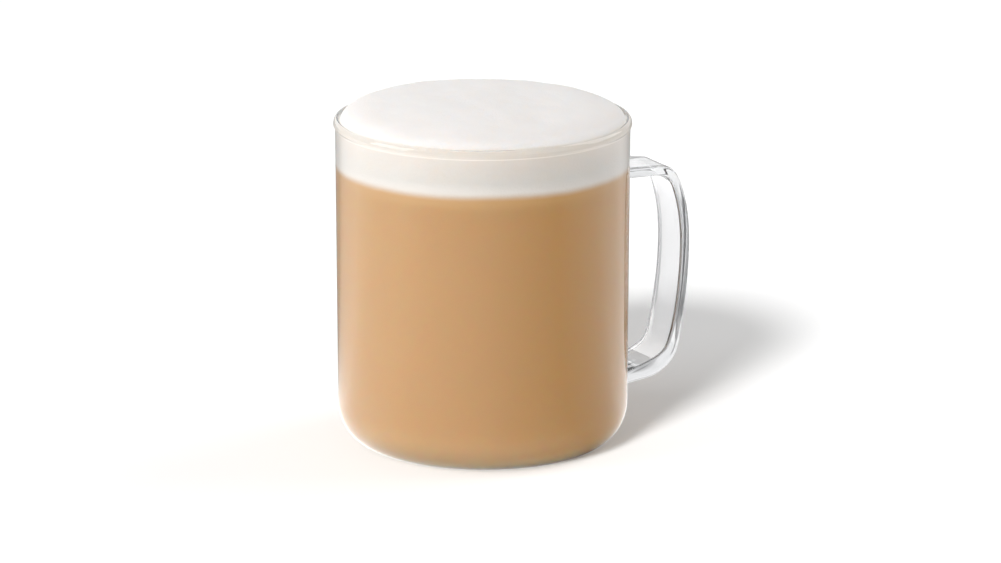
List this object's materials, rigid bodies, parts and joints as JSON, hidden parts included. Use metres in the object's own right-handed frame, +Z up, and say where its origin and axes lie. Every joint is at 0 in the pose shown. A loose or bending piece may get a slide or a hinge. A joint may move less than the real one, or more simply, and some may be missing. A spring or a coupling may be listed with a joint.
{
  "type": "masala chai in a glass mug",
  "caption": "Milky spiced tea in a clear glass mug with a rolled rim, a flat strap handle and a rounded base, capped with a domed head of foam.",
  "frame": {"origin": "on the mug's axis, in the plane of its flat base", "axes": "+Z up along the mug's axis, +X towards the handle"},
  "size_m": [0.1066, 0.085, 0.1008],
  "materials": {
    "glass": "clear, polished, colourless",
    "chai": "cloudy milky tea, light brown",
    "foam": "fine white milk foam, matte"
  },
  "bodies": {
    "root": {"mug": "glass", "chai": "chai", "foam": "foam"}
  },
  "joints": []
}
